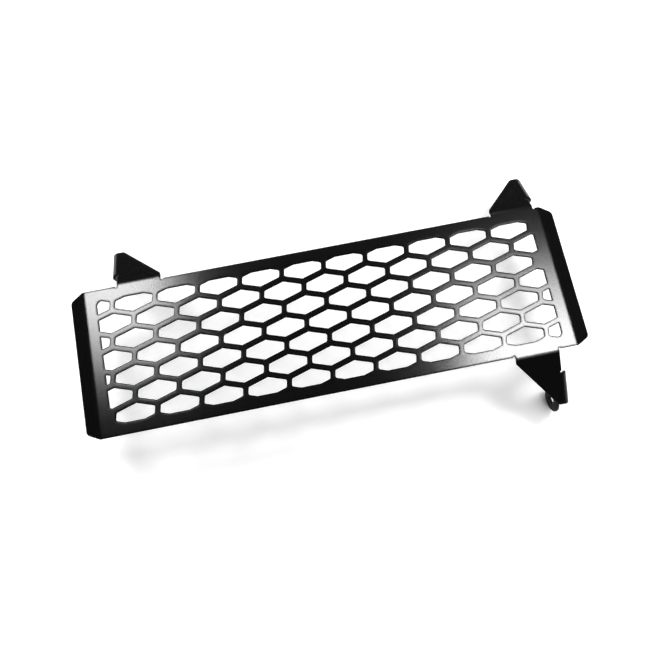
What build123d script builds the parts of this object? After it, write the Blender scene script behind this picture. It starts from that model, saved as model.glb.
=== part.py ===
from build123d import *
from math import ceil, cos, radians, sin, tan
import os

# Motorcycle radiator guard: one laser-cut sheet, folded and powder-coated.
# It lies face up on its three ears: X runs along the panel, Y up its height, Z out of its face.

# Sheet
thickness = 2.0

# Panel, between the two side bends and between its upper and lower edges
panel_length = 350.0
panel_height = 111.0

# Solid border left round the grille
border_left = 8.6
border_right = 9.0
border_edges = 8.8
window_corner = 4.0

# Honeycomb cells: long hexagons that lean over, in rows that step sideways as they go up
cell_pitch = 32.0
row_pitch = 13.9
row_step = 1.6
web = 4.0
cell_height = 14.6
cell_side = 5.6
cell_lean = 11.0
cell_corner = 1.5
smallest_opening = 16.5

# Side flanges, bent back a little, with their free corners cut away and rounded
flange_width = 11.2
flange_angle = 15.0
flange_bend = 8.0
flange_taper = 5.2
flange_corner = 4.0

# Tabs, bent back from the upper and lower edges
tab_width = 32.9
tab_angle = 30.0
tab_bend = 1.5
tab_setback = 0.8
tab_shoulder = 4.4
tab_corner = 3.0
upper_tab_reach = 37.4
upper_tab_tip = 5.0
lower_tab_reach = 42.0
lower_tab_tip = 4.2

# Outer side of each tab, from the middle of the panel
upper_left_side = 149.8
upper_right_side = 171.2
lower_right_side = 160.8

# Ears, folded back along the tabs' outer sides and leaning in a little, with round lobes
# Their bolt holes lie below the face and in from the tabs' ends
ear_bend = 2.0
ear_lean = 5.0
ear_lobe = 10.2
ear_corner = 3.0
ear_hole = 7.0
ear_depth = 49.5
upper_ear_start = 11.0
upper_ear_inset = 10.6
lower_ear_start = 17.2
lower_ear_inset = 8.9

# Relief cuts at the ends of the folds
relief_width = 1.6
relief_depth = 0.8

# Panel's upper and lower edges, from its middle
panel_edge = panel_height / 2

# Bends on the face side, and the run of a bend from its start to the corner it rounds off
tab_bend_outside = tab_bend + thickness
tab_bend_run = tab_bend_outside * tan(radians(tab_angle / 2))
tab_corner_line = tab_setback + tab_bend_run
ear_bend_outside = ear_bend + thickness
flange_bend_outside = flange_bend + thickness
flange_bend_run = flange_bend_outside * tan(radians(flange_angle / 2))


def folded_tab(reach, tip, ear_start, ear_inset):
    """Tab and ear at an upper right corner, from its outer side, the panel's edge and the panel's face."""
    tilt = radians(tab_angle)
    lean = radians(ear_lean)
    slope = Plane((0, tab_corner_line, 0), x_dir=(1, 0, 0), z_dir=(0, sin(tilt), cos(tilt)))
    fold_start = slope.from_local_coords(Vector(0, ear_start, 0))
    fold_length = reach - ear_start
    ear_out = slope.x_dir * cos(lean) - slope.z_dir * sin(lean)
    ear_face = Plane(
        fold_start + (ear_out - slope.z_dir) * ear_bend_outside, x_dir=slope.y_dir, z_dir=ear_out
    )
    hole_out = tab_corner_line + reach * cos(tilt) - ear_inset
    hole = ear_face.to_local_coords(ear_face.intersect(Axis((0, hole_out, -ear_depth), (1, 0, 0))))

    with BuildPart() as tab:
        # Root of the tab: flat out of the panel, then bent back
        with BuildSketch(Plane.YZ):
            with BuildLine():
                flat = Line((-thickness, 0), (tab_setback, 0))
                bend = JernArc(flat @ 1, flat % 1, tab_bend_outside, -tab_angle)
                inside = JernArc((tab_setback, -thickness), flat % 1, tab_bend, -tab_angle)
                Line(bend @ 1, inside @ 1)
                Polyline(inside @ 0, (-thickness, -thickness), flat @ 0)
            make_face()
        extrude(amount=-tab_width)

        # Sloping plate, cut away on its inner side
        with BuildSketch(slope) as plate:
            with BuildLine():
                Polyline(
                    (0, tab_bend_run),
                    (0, reach),
                    (-tip, reach),
                    (-tab_width, tab_shoulder),
                    (-tab_width, tab_bend_run),
                    close=True,
                )
            make_face()
            shoulder = plate.vertices().group_by(Axis.X)[0].sort_by(Axis.Y)[-1]
            point = plate.vertices().group_by(Axis.Y)[-1].sort_by(Axis.X)[0]
            fillet([shoulder, point], tab_corner)
            with Locations((0, ear_start - relief_width / 2)):
                Rectangle(2 * relief_depth, relief_width, mode=Mode.SUBTRACT)
        extrude(amount=-thickness)

        # Fold along the outer side
        with BuildSketch(Plane(fold_start, x_dir=(1, 0, 0), z_dir=slope.y_dir)):
            with BuildLine():
                outside = CenterArc((0, ear_bend_outside), ear_bend_outside, -90, 90 + ear_lean)
                within = CenterArc((0, ear_bend_outside), ear_bend, -90, 90 + ear_lean)
                Line(outside @ 0, within @ 0)
                Line(outside @ 1, within @ 1)
            make_face()
        extrude(amount=fold_length)

        # Ear: a stem from the fold to a round lobe about the bolt hole, rounded at the neck
        with BuildSketch(ear_face) as ear:
            with BuildLine():
                fold = Line((0, 0), (fold_length, 0))
                lobe = CenterArc((hole.X, hole.Y), ear_lobe, 0, 360, mode=Mode.PRIVATE)
                side = ConstrainedLines(lobe, fold @ 0, selector=lambda lines: lines.sort_by(Axis.X)[0])
                Polyline(fold @ 1, lobe.arc_center, side @ 0)
            make_face()
            with Locations((hole.X, hole.Y)):
                Circle(ear_lobe)
            neck = ear.vertices().group_by(Axis.Y)[-2]
            fillet(neck, ear_corner)
            with Locations((hole.X, hole.Y)):
                Circle(ear_hole / 2, mode=Mode.SUBTRACT)
        extrude(amount=-thickness)
    return tab.part


upper_tab = folded_tab(upper_tab_reach, upper_tab_tip, upper_ear_start, upper_ear_inset)
lower_tab = folded_tab(lower_tab_reach, lower_tab_tip, lower_ear_start, lower_ear_inset)

# The face stands over the ears' lobes, which touch the ground, and the whole is centred over the origin
face_height = -lower_tab.bounding_box().min.Z
panel_middle = (lower_tab.bounding_box().max.Y - upper_tab.bounding_box().max.Y) / 2
face = Plane((0, panel_middle, face_height))
across = Plane(face.origin, x_dir=(1, 0, 0), z_dir=(0, -1, 0))
flange_tilt = radians(flange_angle)
flange_face = Plane(
    face.from_local_coords(Vector(panel_length / 2, 0, 0)),
    x_dir=(cos(flange_tilt), 0, -sin(flange_tilt)),
    z_dir=(sin(flange_tilt), 0, cos(flange_tilt)),
)

with BuildPart(face) as guard_sheet:
    # Panel: one strip, bent back at both ends
    with BuildSketch(across):
        with BuildLine():
            flat = Line((0, 0), (panel_length / 2 - flange_bend_run, 0))
            bend = JernArc(flat @ 1, flat % 1, flange_bend_outside, -flange_angle)
            inside = JernArc(flat @ 1 - (0, thickness), flat % 1, flange_bend, -flange_angle)
            Line(bend @ 1, inside @ 1)
            Line(inside @ 0, (0, -thickness))
            mirror(about=Plane.YZ)
        make_face()
    extrude(amount=panel_edge, both=True)

    # Side flanges beyond the bends
    with BuildSketch(flange_face) as flange:
        with BuildLine():
            Polyline(
                (flange_bend_run, panel_edge),
                (flange_width, panel_edge - flange_taper),
                (flange_width, flange_taper - panel_edge),
                (flange_bend_run, -panel_edge),
                close=True,
            )
        make_face()
        fillet(flange.vertices().group_by(Axis.X)[-1], flange_corner)
    extrude(amount=-thickness)
    mirror(about=Plane.YZ)

    # Tabs with their ears
    with Locations((upper_right_side, panel_edge)):
        add(upper_tab)
    with Locations((-upper_left_side, panel_edge)):
        add(mirror(upper_tab, about=Plane.YZ, mode=Mode.PRIVATE))
    with Locations((lower_right_side, -panel_edge)):
        add(mirror(lower_tab, about=Plane.XZ, mode=Mode.PRIVATE))

    # Relief cuts into the panel's edge, at both sides of each tab
    with BuildSketch(face):
        relief_span = tab_width + relief_width
        with Locations(
            (upper_right_side - tab_width / 2, panel_edge),
            (tab_width / 2 - upper_left_side, panel_edge),
            (lower_right_side - tab_width / 2, -panel_edge),
        ):
            with GridLocations(relief_span, 0, 2, 1):
                Rectangle(relief_width, 2 * relief_depth)
    extrude(amount=-thickness, mode=Mode.SUBTRACT)

    # Grille: rows of cells, trimmed by the border, without the slivers that the trim leaves
    with BuildSketch(face) as grille:
        window_length = panel_length - border_left - border_right
        window_height = panel_height - 2 * border_edges
        lean = tan(radians(cell_lean))
        row_reach = ceil(window_height / (2 * row_pitch))
        cell_reach = ceil(window_length / (2 * cell_pitch)) + 1
        centres = [
            ((column + (row % 2) / 2) * cell_pitch + row * row_step, row * row_pitch)
            for row in range(-row_reach, row_reach + 1)
            for column in range(-cell_reach, cell_reach + 1)
        ]
        corners = [
            (0, cell_height / 2),
            ((web - cell_pitch) / 2, cell_side / 2),
            ((web - cell_pitch) / 2, -cell_side / 2),
            (0, -cell_height / 2),
            ((cell_pitch - web) / 2, -cell_side / 2),
            ((cell_pitch - web) / 2, cell_side / 2),
        ]
        with BuildSketch(Plane.XY, mode=Mode.PRIVATE) as cell:
            Polygon(*[(x + y * lean, y) for x, y in corners], align=None)
            fillet(cell.vertices().sort_by(Axis.Y)[1:-1], cell_corner)
        with Locations(*centres):
            add(cell.sketch)
        with Locations(((border_left - border_right) / 2, 0)):
            RectangleRounded(window_length, window_height, window_corner, mode=Mode.INTERSECT)
        slivers = [opening for opening in grille.faces() if opening.area < smallest_opening]
        add(slivers, mode=Mode.SUBTRACT)
    extrude(amount=-thickness, mode=Mode.SUBTRACT)

guard_sheet.part.label = "guard_sheet"
os.makedirs("parts", exist_ok=True)
export_step(guard_sheet.part, "parts/guard_sheet.step")
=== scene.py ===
import math

import bpy
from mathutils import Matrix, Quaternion, Vector


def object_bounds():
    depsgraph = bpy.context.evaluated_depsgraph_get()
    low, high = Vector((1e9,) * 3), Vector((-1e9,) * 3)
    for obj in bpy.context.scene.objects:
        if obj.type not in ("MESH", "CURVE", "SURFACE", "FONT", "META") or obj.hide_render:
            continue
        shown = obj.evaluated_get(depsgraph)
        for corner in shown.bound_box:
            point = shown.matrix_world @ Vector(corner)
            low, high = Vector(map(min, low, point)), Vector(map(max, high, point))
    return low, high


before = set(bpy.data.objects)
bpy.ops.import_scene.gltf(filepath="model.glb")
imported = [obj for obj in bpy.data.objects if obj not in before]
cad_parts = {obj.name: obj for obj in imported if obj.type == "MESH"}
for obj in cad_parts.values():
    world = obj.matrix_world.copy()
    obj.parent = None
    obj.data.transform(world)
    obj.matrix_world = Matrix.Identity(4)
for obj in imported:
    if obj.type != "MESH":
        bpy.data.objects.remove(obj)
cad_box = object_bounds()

# Motorcycle radiator guard in satin black powder coat, lying face up on a white table
# Lengths are in metres and angles in degrees

# Camera at the photograph's viewing angle; azimuth 0 looks along +Y
CAMERA_AZIMUTH = -10.70
CAMERA_ELEVATION = 74.87
CAMERA_ROLL = 0.62
CAMERA_DISTANCE = 0.5665
CAMERA_AIM = (-0.0032, -0.0018)
IMAGE_SIDE = 650
FOCAL_PIXELS = 769.6

# Facets joined into flat faces, and edges rounded under the coat where the faces turn sharply
WELD_GAP = 1e-6
FLAT_ANGLE = 0.5
EDGE_RADIUS = 0.00035
EDGE_SEGMENTS = 3
EDGE_ANGLE = 40

# Colour of the coat in its deeper and paler clouds
COAT_DEEP = (0.0021, 0.0021, 0.0022, 1)
COAT_PALE = (0.0037, 0.0037, 0.0039, 1)
CLOUD_SCALE = 35
CLOUD_DETAIL = 3

# Fine grain and faint orange peel of the coat
GRAIN_SCALE = 2600
GRAIN_DETAIL = 2
GRAIN_HEIGHT = 0.00002
PEEL_SCALE = 800
PEEL_DETAIL = 1
PEEL_HEIGHT = 0.00002

# Sheen of the coat: satin on the faces, dull on the cut edges, and in between on the ears
COAT_IOR = 1.45
FACE_SMOOTH = 0.14
FACE_ROUGH = 0.19
FACE_GLOSS = 0.5
EDGE_ROUGH = 0.60
EDGE_GLOSS = 0.04
EAR_ROUGH = 0.40
EAR_GLOSS = 0.09

# Heights over the table between which the ears' sheen gives way to the cut edges'
EAR_TOP = 0.050
PANEL_UNDER = 0.056

# Upright share of a surface's normal on ears and cut edges, and on faces
STEEP = 0.50
FLAT = 0.85

# Radius of the softened edges, and how their normal agrees with the true one, from rim to open face
EDGE_SOFTNESS = 0.0020
TURNED = 0.975
STRAIGHT = 0.9985

# Softboxes, with their radiance at the low and the high end of their depth
LEFT_LIGHT = {"place": (-0.290, 0.217, 0.624), "width": 0.18, "depth": 0.20, "low": 0, "high": 32}
RIGHT_LIGHT = {"place": (0.338, 0.105, 0.624), "width": 0.22, "depth": 0.19, "low": 41, "high": 0}
FRONT_LIGHT = {"place": (0.325, -0.25, 0.624), "width": 0.10, "depth": 0.30, "low": 4, "high": 4}
BACK_LIGHT = {"place": (0, 0.90, 0.90), "width": 1.0, "depth": 0.4, "low": 3.5, "high": 3.5}
DOWN = (0, 0, -1)

# Power of an area light, for each square metre, that gives it a radiance of 1
AREA_LIGHT_FLUX = 4

# Room: its dim light, and the upward and backward shares of a direction where the sheen loses its white
WHITE = (1, 1, 1, 1)
ROOM_LIGHT = 0.03
LOW_WHITE = 0.25
LOW_DIM = 0.45
BACK_WHITE = 0.50
BACK_DIM = 0.80

# Table, with its glow near the middle and far from it
TABLE_SIDE = 8.0
TABLE_COLOUR = (0.80, 0.80, 0.80, 1)
NEAR_GLOW = 0.42
FAR_GLOW = 1.0
NEAR = 0.12
FAR = 0.32

# Shade that the guard leaves in the glow: how far it reaches, and the open share where it is deepest
SHADE_REACH = 0.028
DEEPEST_SHADE = 0.55


def node(tree, kind, **inputs):
    """A new shader node, with the given input sockets set or linked."""
    made = tree.nodes.new(kind)
    for name, value in inputs.items():
        socket = made.inputs[name.replace("_", " ")]
        if isinstance(value, bpy.types.NodeSocket):
            tree.links.new(value, socket)
        else:
            socket.default_value = value
    return made


def new_material(name):
    """An empty node material."""
    material = bpy.data.materials.new(name)
    material.use_nodes = True
    material.node_tree.nodes.clear()
    return material


def maths(tree, operation, *values, kind="ShaderNodeMath"):
    """The number that an operation makes of one or two values."""
    made = node(tree, kind)
    made.operation = operation
    for value, socket in zip(values, made.inputs):
        tree.links.new(value, socket)
    return made.outputs["Value"]


def vector_maths(tree, operation, *vectors):
    """The number that an operation makes of one or two vectors."""
    return maths(tree, operation, *vectors, kind="ShaderNodeVectorMath")


def map_range(tree, value, low, high, to_low, to_high):
    """A value carried from one range to another, held within it."""
    carried = node(
        tree,
        "ShaderNodeMapRange",
        Value=value,
        From_Min=low,
        From_Max=high,
        To_Min=to_low,
        To_Max=to_high,
    )
    return carried.outputs["Result"]


def axes(tree, vector):
    """The X, Y and Z of a vector."""
    return node(tree, "ShaderNodeSeparateXYZ", Vector=vector).outputs


def noise(tree, place, scale, detail):
    """A noise between 0 and 1."""
    return node(tree, "ShaderNodeTexNoise", Vector=place, Scale=scale, Detail=detail).outputs["Fac"]


def bump(tree, relief, height, normal):
    """A normal tilted by a relief of the given height."""
    return node(tree, "ShaderNodeBump", Height=relief, Distance=height, Normal=normal).outputs["Normal"]


def show(tree, shader):
    """Links a shader to the surface of a new material output."""
    node(tree, "ShaderNodeOutputMaterial", Surface=shader.outputs[0])


def powder_coat():
    """Satin black powder coat: fine grain on a faint orange peel, a little uneven in sheen and depth."""
    material = new_material("powder_coat")
    tree = material.node_tree
    place = node(tree, "ShaderNodeTexCoord").outputs["Object"]
    grain = noise(tree, place, GRAIN_SCALE, GRAIN_DETAIL)
    peel = noise(tree, place, PEEL_SCALE, PEEL_DETAIL)
    cloud = noise(tree, place, CLOUD_SCALE, CLOUD_DETAIL)
    true_normal = node(tree, "ShaderNodeNewGeometry").outputs["Normal"]
    soft_normal = node(tree, "ShaderNodeBevel", Radius=EDGE_SOFTNESS).outputs["Normal"]

    colour = node(tree, "ShaderNodeValToRGB", Fac=cloud)
    colour.color_ramp.elements[0].color = COAT_DEEP
    colour.color_ramp.elements[1].color = COAT_PALE

    # Steep surfaces are ears below and cut edges above
    height = axes(tree, place)["Z"]
    steep_rough = map_range(tree, height, EAR_TOP, PANEL_UNDER, EAR_ROUGH, EDGE_ROUGH)
    steep_gloss = map_range(tree, height, EAR_TOP, PANEL_UNDER, EAR_GLOSS, EDGE_GLOSS)

    # Faces are uneven with the grain, and lose their gloss along an edge
    agreement = vector_maths(tree, "DOT_PRODUCT", true_normal, soft_normal)
    face_rough = map_range(tree, grain, 0, 1, FACE_SMOOTH, FACE_ROUGH)
    face_gloss = map_range(tree, agreement, TURNED, STRAIGHT, EDGE_GLOSS, FACE_GLOSS)

    upright = maths(tree, "ABSOLUTE", axes(tree, soft_normal)["Z"])
    rough = map_range(tree, upright, STEEP, FLAT, steep_rough, face_rough)
    gloss = map_range(tree, upright, STEEP, FLAT, steep_gloss, face_gloss)

    waves = bump(tree, peel, PEEL_HEIGHT, soft_normal)
    grains = bump(tree, grain, GRAIN_HEIGHT, waves)
    coat = node(
        tree,
        "ShaderNodeBsdfPrincipled",
        Base_Color=colour.outputs["Color"],
        Roughness=rough,
        IOR=COAT_IOR,
        Specular_IOR_Level=gloss,
        Normal=grains,
    )
    show(tree, coat)
    return material


def table_white():
    """White table that keeps the guard's shadows, glowing more away from it so that it stays white."""
    material = new_material("table_white")
    tree = material.node_tree
    path = node(tree, "ShaderNodeLightPath").outputs
    seen = maths(tree, "MAXIMUM", path["Is Camera Ray"], path["Is Glossy Ray"])
    seen = maths(tree, "MAXIMUM", seen, path["Is Transmission Ray"])
    away = vector_maths(tree, "LENGTH", node(tree, "ShaderNodeTexCoord").outputs["Object"])
    glow = map_range(tree, away, NEAR, FAR, NEAR_GLOW, FAR_GLOW)
    open_share = node(tree, "ShaderNodeAmbientOcclusion", Distance=SHADE_REACH).outputs["AO"]
    open_share = map_range(tree, open_share, DEEPEST_SHADE, 1, 0, 1)
    strength = maths(tree, "MULTIPLY", glow, open_share)
    strength = maths(tree, "MULTIPLY", strength, seen)
    light = node(tree, "ShaderNodeEmission", Strength=strength)
    matt = node(tree, "ShaderNodeBsdfDiffuse", Color=TABLE_COLOUR)
    both = node(tree, "ShaderNodeAddShader")
    tree.links.new(matt.outputs[0], both.inputs[0])
    tree.links.new(light.outputs[0], both.inputs[1])
    show(tree, both)
    return material


def round_edges(sheet):
    """Joins the sheet's facets into flat faces and rounds the edges between them."""
    weld = sheet.modifiers.new("joined_facets", "WELD")
    weld.merge_threshold = WELD_GAP
    flat = sheet.modifiers.new("flat_faces", "DECIMATE")
    flat.decimate_type = "DISSOLVE"
    flat.angle_limit = math.radians(FLAT_ANGLE)
    rounded = sheet.modifiers.new("rounded_edges", "BEVEL")
    rounded.width = EDGE_RADIUS
    rounded.segments = EDGE_SEGMENTS
    rounded.limit_method = "ANGLE"
    rounded.angle_limit = math.radians(EDGE_ANGLE)
    rounded.use_clamp_overlap = False
    rounded.loop_slide = False
    sheet.modifiers.new("even_shading", "WEIGHTED_NORMAL")


def softbox(name, place, width, depth, low, high, facing=DOWN):
    """A rectangular softbox, whose radiance runs from low to high along its depth."""
    light = bpy.data.lights.new(name, "AREA")
    light.shape = "RECTANGLE"
    light.size = width
    light.size_y = depth
    light.energy = AREA_LIGHT_FLUX * width * depth
    light.use_nodes = True
    tree = light.node_tree
    along = axes(tree, node(tree, "ShaderNodeNewGeometry").outputs["Parametric"])["Y"]
    tree.links.new(map_range(tree, along, 0, 1, low, high), tree.nodes["Emission"].inputs["Strength"])
    lamp = bpy.data.objects.new(name, light)
    lamp.location = place
    lamp.rotation_mode = "QUATERNION"
    lamp.rotation_quaternion = Vector(facing).to_track_quat("-Z", "Y")
    bpy.context.scene.collection.objects.link(lamp)


def softboxes():
    """Two above the ends of the panel, a narrow one before the lower tab and a wide dim one behind."""
    softbox("left_softbox", **LEFT_LIGHT)
    softbox("right_softbox", **RIGHT_LIGHT)
    softbox("front_softbox", **FRONT_LIGHT)
    softbox("back_softbox", **BACK_LIGHT, facing=-Vector(BACK_LIGHT["place"]))


def table():
    """The table, level with the lowest point of the guard."""
    bpy.ops.mesh.primitive_plane_add(size=TABLE_SIDE, location=(0, 0, cad_box[0].z))
    top = bpy.context.object
    top.name = "table"
    top.data.materials.append(table_white())


def room():
    """Dim light from all round, white where it is seen, and white in the sheen low down but not behind."""
    world = bpy.data.worlds.new("room")
    world.use_nodes = True
    tree = world.node_tree
    path = node(tree, "ShaderNodeLightPath").outputs
    towards = axes(tree, node(tree, "ShaderNodeTexCoord").outputs["Generated"])
    low = map_range(tree, towards["Z"], LOW_WHITE, LOW_DIM, 1, 0)
    aside = map_range(tree, towards["Y"], BACK_WHITE, BACK_DIM, 1, 0)
    sheen = maths(tree, "MULTIPLY", low, aside)
    sheen = maths(tree, "MULTIPLY", sheen, path["Is Glossy Ray"])
    seen = maths(tree, "MAXIMUM", path["Is Camera Ray"], path["Is Transmission Ray"])
    seen = maths(tree, "MAXIMUM", seen, sheen)
    sky = tree.nodes["Background"].inputs
    tree.links.new(map_range(tree, seen, 0, 1, ROOM_LIGHT, 1), sky["Strength"])
    sky["Color"].default_value = WHITE
    bpy.context.scene.world = world


def camera():
    """The photograph's camera, aimed at the face of the panel."""
    azimuth = math.radians(CAMERA_AZIMUTH)
    elevation = math.radians(CAMERA_ELEVATION)
    level = math.cos(elevation)
    back = Vector((math.sin(azimuth) * level, -math.cos(azimuth) * level, math.sin(elevation)))
    roll = Quaternion((0, 0, 1), -math.radians(CAMERA_ROLL))
    data = bpy.data.cameras.new("camera")
    data.sensor_fit = "HORIZONTAL"
    data.lens = data.sensor_width * FOCAL_PIXELS / IMAGE_SIDE
    eye = bpy.data.objects.new("camera", data)
    eye.location = Vector((*CAMERA_AIM, cad_box[1].z)) + back * CAMERA_DISTANCE
    eye.rotation_mode = "QUATERNION"
    eye.rotation_quaternion = (-back).to_track_quat("-Z", "Y") @ roll
    bpy.context.scene.collection.objects.link(eye)
    bpy.context.scene.camera = eye


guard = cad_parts["guard_sheet"]
guard.material_slots[0].material = powder_coat()
round_edges(guard)
table()
softboxes()
room()
camera()
bpy.context.scene.view_settings.view_transform = "Standard"
